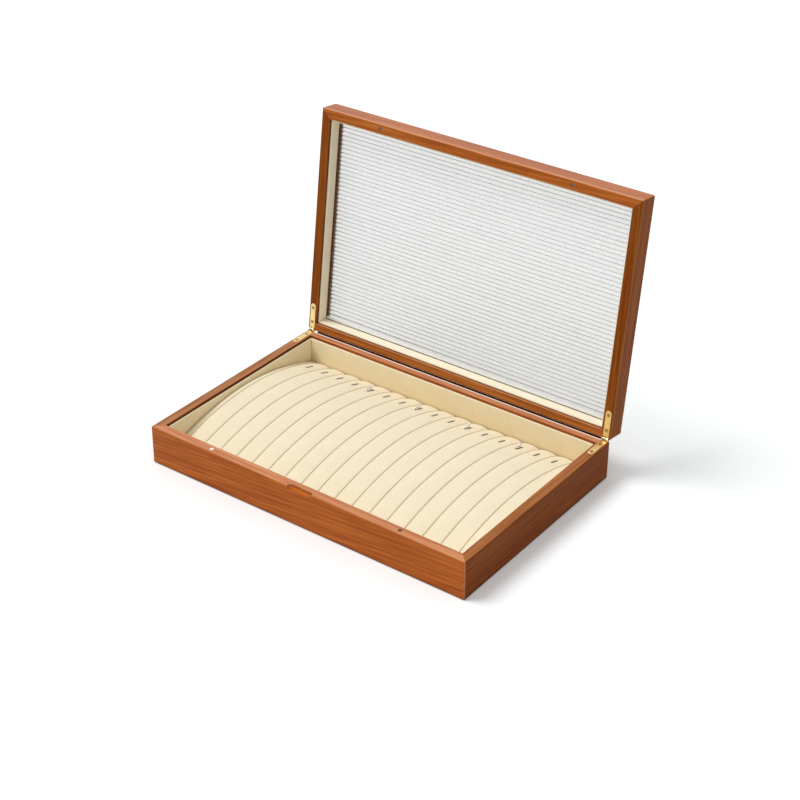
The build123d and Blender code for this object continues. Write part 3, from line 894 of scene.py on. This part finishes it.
def pad_rows():
    """Where the pad's cloth is divided along the channels."""
    slit = SLIT_END - SLIT_FRONT
    rows = [PAD_FRONT + edge for edge in PAD_EDGE_STEPS]
    rows += even_steps(PAD_FRONT + LONG_ROWS_START, SLIT_FRONT - SLIT_FAR_ROW, PAD_LONG_ROWS)
    rows += [SLIT_FRONT - SLIT_NEAR_ROW, SLIT_FRONT]
    rows += [SLIT_FRONT + slit * share for share in SLIT_SHARES]
    rows += [SLIT_END, SLIT_END + SLIT_NEAR_ROW, SLIT_END + SLIT_FAR_ROW]
    rows += even_steps(SLIT_END + BACK_ROWS_START, PAD_BACK - PAD_EDGE_STEPS[-1], PAD_BACK_ROWS)
    rows += [PAD_BACK - edge for edge in reversed(PAD_EDGE_STEPS[:-1])]
    return rows


def pad_point(x, y, fall):
    """Point at a distance under the pad's crown, along its own slope."""
    slope = asin(y / PAD_RADIUS)
    radius = PAD_RADIUS - fall
    return Vector((x, radius * sin(slope), PAD_CROWN - PAD_RADIUS + radius * cos(slope)))


def across_channel(x):
    """Place across its channel, from -1 to 1, and the channel's share of a full width."""
    left = max(edge for edge in channel_edges() if edge <= x + ROUNDING)
    right = min(edge for edge in channel_edges() if edge >= x - ROUNDING)
    if right <= left:
        return 1, 0
    return (2 * x - left - right) / (right - left), min(1, (right - left) / CHANNEL_PITCH)


def smooth_between(values, place):
    """Value at a place between evenly numbered values, without kinks."""
    last = len(values) - 1
    start = min(max(int(place), 0), last - 1)
    share = place - start
    before, low, high, after = (values[min(max(start + step, 0), last)] for step in (-1, 0, 1, 2))
    bend = 2 * before - 5 * low + 4 * high - after
    twist = 3 * (low - high) + after - before
    return low + share / 2 * (high - before + share * (bend + share * twist))


class SwollenCloth:
    """Cloth held down at the grooves and slits, and swollen between them by its padding."""

    def __init__(self):
        self.columns = []
        edges = channel_edges()
        for left, right in zip(edges, edges[1:]):
            count = max(2, 2 * round((right - left) / CLOTH_STEP / 2))
            self.columns += even_steps(left, right, count)[:-1]
        self.columns.append(PAD_X)
        step = (PAD_BACK - PAD_FRONT) / CLOTH_ROWS
        self.rows = [PAD_FRONT + step * number for number in range(CLOTH_ROWS + 1)]
        self.rises = self.measure(self.swell(self.lay_sheet()))

    def on_slit(self, x, y):
        """Whether the cloth is held at a slit's rim here."""
        beside = SLIT_FRONT - SLIT_HOLD < y < SLIT_END + SLIT_HOLD
        return from_slit(x) < CLOTH_STEP / 2 and beside

    def lay_sheet(self):
        """Sheet of cloth laid over the board, enlarged, with the points at which it is held."""
        form = bmesh.new()
        held = []
        grid = []
        for y in self.rows:
            row = []
            for x in self.columns:
                slit = self.on_slit(x, y)
                uneven = CLOTH_UNEVEN * cloudiness(Vector((x, y, 0)) / CLOTH_UNEVEN_SIZE)
                start = pad_point(x, y, CHANNEL_RISE - SLIT_RIM_RISE * slit - uneven)
                row.append(form.verts.new(start * CLOTH_SCALE))
                if slit or min(abs(x - edge) for edge in channel_edges()) < HOLD_REACH:
                    held.append(len(grid) * len(self.columns) + len(row) - 1)
            grid.append(row)
        for near, far in zip(grid, grid[1:]):
            for left in range(len(self.columns) - 1):
                right = left + 1
                form.faces.new((near[left], near[right], far[right], far[left]))
        mesh = bpy.data.meshes.new("cloth")
        form.to_mesh(mesh)
        form.free()
        sheet = bpy.data.objects.new("cloth", mesh)
        bpy.context.scene.collection.objects.link(sheet)
        sheet.vertex_groups.new(name="held").add(held, 1, "REPLACE")
        return sheet

    def swell(self, sheet):
        """Mesh of the sheet after it has swollen for some frames, without gravity."""
        modifier = sheet.modifiers.new("swelling", "CLOTH")
        modifier.point_cache.frame_end = CLOTH_FRAMES
        cloth = modifier.settings
        cloth.quality = 6
        cloth.mass = 0.3
        cloth.air_damping = 4
        cloth.tension_stiffness = CLOTH_STIFFNESS
        cloth.compression_stiffness = CLOTH_STIFFNESS
        cloth.shear_stiffness = CLOTH_STIFFNESS / 3
        cloth.bending_stiffness = 0.5
        cloth.shrink_min = -CLOTH_SPARE
        cloth.use_pressure = True
        cloth.uniform_pressure_force = CLOTH_PRESSURE
        cloth.vertex_group_mass = "held"
        cloth.effector_weights.gravity = 0
        for frame_number in range(1, CLOTH_FRAMES + 1):
            bpy.context.scene.frame_set(frame_number)
        ready = sheet.evaluated_get(bpy.context.evaluated_depsgraph_get())
        swollen = bpy.data.meshes.new_from_object(ready)
        bpy.data.objects.remove(sheet)
        bpy.context.scene.frame_set(1)
        return swollen

    def measure(self, swollen):
        """How far each point of the swollen cloth rises from the board, row by row."""
        middle = PAD_CROWN - PAD_RADIUS
        rises = []
        for vert in swollen.vertices:
            _, y, z = vert.co / CLOTH_SCALE
            rise = hypot(y, z - middle) - PAD_RADIUS + CHANNEL_RISE
            rises.append(min(max(rise, 0), CLOTH_CAP))
        bpy.data.meshes.remove(swollen)
        width = len(self.columns)
        return [rises[start:start + width] for start in range(0, len(rises), width)]

    def rise(self, x, y):
        """How far the cloth rises from the board at a spot."""
        number = min(bisect_right(self.columns, x), len(self.columns) - 1) - 1
        left, right = self.columns[number:number + 2]
        along = (y - PAD_FRONT) / (PAD_BACK - PAD_FRONT) * CLOTH_ROWS
        line = [smooth_between(column, along) for column in self.lines_near(number)]
        return smooth_between(line, number - max(number - 1, 0) + (x - left) / (right - left))

    def lines_near(self, number):
        """Rises along the columns beside a spot."""
        low = max(number - 1, 0)
        high = min(number + 3, len(self.columns))
        return [[row[column] for row in self.rises] for column in range(low, high)]


pad_swelling = SwollenCloth()


def crown(x, y):
    """How far the padding lifts the cloth above the board."""
    if pad_swelling:
        return pad_swelling.rise(x, y)
    across, width_share = across_channel(x)
    return CHANNEL_RISE * width_share * (1 - abs(across) ** 2.5)


def near_slit(x, y):
    """Distance from the rim of the nearest slit, and 0 within it."""
    aside = max(from_slit(x) - SLIT_HALF, 0)
    return hypot(aside, max(SLIT_FRONT - y, y - SLIT_END, 0))


def pressed_in(x, y):
    """How far the cloth is pressed in below the pad's crown, and how much shade is painted there.
    """
    near = min(abs(x - groove) for groove in groove_places())
    groove = 0
    if near < GROOVE_HALF:
        groove = (1 + cos(pi * near / GROOVE_HALF)) / 2
    from_side = PAD_X - abs(x)
    from_back = PAD_BACK - y
    from_rim = near_slit(x, y)
    side = max(0, 1 - from_side / SIDE_WIDTH)
    end = max(0, 1 - min(y - PAD_FRONT, from_back) / END_WIDTH)
    scallop = max(0, 1 - from_back / SCALLOP_LENGTH) * abs(across_channel(x)[0]) ** 3
    fall = CHANNEL_RISE - crown(x, y)
    fall += GROOVE_DEPTH * groove + SIDE_DROP * side ** 2 + END_DROP * end ** 2
    fall += BACK_SCALLOP * scallop
    fall += SLIT_DIP * exp(-(from_rim / SLIT_DIP_WIDTH) ** 2)
    edge = max(0, 1 - from_side / EDGE_MARK_WIDTH, 1 - from_back / EDGE_MARK_WIDTH)
    slit = exp(-(from_rim / SLIT_MARK_WIDTH) ** 2)
    mark = max(GROOVE_MARK * groove, EDGE_MARK * edge, SLIT_MARK * slit)
    return min(fall, PAD_THICKNESS - LEAST_THICKNESS), mark


def in_slit(x, y):
    """Whether a spot on the pad is open to its hook."""
    return from_slit(x) < SLIT_HALF and SLIT_FRONT < y < SLIT_END


def pad_sheets(form, marks):
    """Top and under side of the pad, open at the slits; says which point lies under which."""
    columns = pad_columns()
    rows = pad_rows()
    tops = []
    unders = []
    for y in rows:
        top_row = []
        under_row = []
        for x in columns:
            fall, mark = pressed_in(x, y)
            point = form.verts.new(pad_point(x, y, fall))
            point[marks] = mark
            top_row.append(point)
            under_row.append(form.verts.new(pad_point(x, y, PAD_THICKNESS)))
        tops.append(top_row)
        unders.append(under_row)
    for j in range(len(rows) - 1):
        for i in range(len(columns) - 1):
            if in_slit((columns[i] + columns[i + 1]) / 2, (rows[j] + rows[j + 1]) / 2):
                continue
            places = ((j, i), (j, i + 1), (j + 1, i + 1), (j + 1, i))
            form.faces.new([tops[row][column] for row, column in places])
            places = ((j, i), (j + 1, i), (j + 1, i + 1), (j, i + 1))
            form.faces.new([unders[row][column] for row, column in places])
    return {top: under for pair in zip(tops, unders) for top, under in zip(*pair)}


def pad_walls(form, under_of, dark):
    """Walls between the pad's two sides, marked for painted shade in the slits."""
    rim = [edge for edge in form.edges if edge.is_boundary and edge.verts[0] in under_of]
    for edge in rim:
        loop = edge.link_loops[0]
        start = loop.vert
        end = loop.link_loop_next.vert
        wall = form.faces.new((end, start, under_of[start], under_of[end]))
        middle = (start.co + end.co) / 2
        inside = abs(middle.x) < PAD_X - SLIT_HOLD
        if inside and SLIT_FRONT - SLIT_HOLD < middle.y < SLIT_END + SLIT_HOLD:
            for corner in wall.loops:
                corner[dark] = 1


def make_pad():
    """Cloth-covered pad with crowned channels, pressed grooves and slits."""
    form = bmesh.new()
    marks = form.verts.layers.float.new("pressed")
    dark = form.loops.layers.float.new("slit")
    pad_walls(form, pad_sheets(form, marks), dark)
    loose = [vert for vert in form.verts if not vert.link_faces]
    bmesh.ops.delete(form, geom=loose, context="VERTS")
    for face in form.faces:
        face.smooth = True
    pad = piece_from(form, "channelled_necklace_pad", pad_cloth, "base")
    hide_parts("necklace_pad")
    return pad


make_pad()


# Floor, light and camera

def seen_directly(tree):
    """1 where a ray comes straight from the camera or a mirror or through glass."""
    rays = node(tree, "ShaderNodeLightPath").outputs
    first = counted(tree, "MAXIMUM", rays["Is Camera Ray"], rays["Is Glossy Ray"])
    return counted(tree, "MAXIMUM", first, rays["Is Transmission Ray"])


def make_floor():
    """Wide white floor that keeps the box's shadow."""
    form = bmesh.new()
    bmesh.ops.create_grid(form, x_segments=8, y_segments=8, size=FLOOR_HALF)
    mesh = bpy.data.meshes.new("floor")
    form.to_mesh(mesh)
    form.free()
    floor = bpy.data.objects.new("floor", mesh)
    bpy.context.scene.collection.objects.link(floor)
    finish = bpy.data.materials.new("white floor")
    finish.use_nodes = True
    tree = finish.node_tree
    tree.nodes.clear()
    seen = seen_directly(tree)
    shade = mixed(tree, seen, FLOOR_COLOUR, FLOOR_SEEN_COLOUR)
    paint = put(node(tree, "ShaderNodeBsdfDiffuse"), {"Color": shade})
    glow = put(node(tree, "ShaderNodeEmission"), {"Color": (1, 1, 1, 1)})
    put(glow, {"Strength": ranged(tree, seen, 0, FLOOR_GLOW)})
    both = put(node(tree, "ShaderNodeAddShader"), {0: paint.outputs[0], 1: glow.outputs[0]})
    put(node(tree, "ShaderNodeOutputMaterial"), {"Surface": both.outputs[0]})
    mesh.materials.append(finish)


def make_light():
    """Soft room light and one broad lamp from the front left."""
    world = bpy.data.worlds.new("studio")
    bpy.context.scene.world = world
    world.use_nodes = True
    tree = world.node_tree
    strength = ranged(tree, seen_directly(tree), ROOM_LIGHT, ROOM_SEEN_LIGHT)
    put(tree.nodes["Background"], {"Color": (1, 1, 1, 1), "Strength": strength})
    lamp = bpy.data.lights.new("broad lamp", "SUN")
    lamp.energy = LAMP_STRENGTH
    lamp.angle = LAMP_SPREAD
    light = bpy.data.objects.new("broad lamp", lamp)
    light.visible_transmission = False
    bpy.context.scene.collection.objects.link(light)
    light.rotation_mode = "QUATERNION"
    light.rotation_quaternion = LAMP_DIRECTION.to_track_quat("-Z", "Y")


def make_camera():
    """Camera at the photograph's place, with its lens and framing."""
    lens = bpy.data.cameras.new("camera")
    lens.sensor_width = 36
    lens.lens = CAMERA_LENS
    lens.shift_x, lens.shift_y = CAMERA_SHIFT
    lens.clip_start = 0.05
    lens.clip_end = 30
    camera = bpy.data.objects.new("camera", lens)
    bpy.context.scene.collection.objects.link(camera)
    camera.location = CAMERA_PLACE
    camera.rotation_mode = "QUATERNION"
    camera.rotation_quaternion = (CAMERA_TARGET - CAMERA_PLACE).to_track_quat("-Z", "Y")
    bpy.context.scene.camera = camera


make_floor()
make_light()
make_camera()
bpy.context.scene.view_settings.view_transform = "Standard"
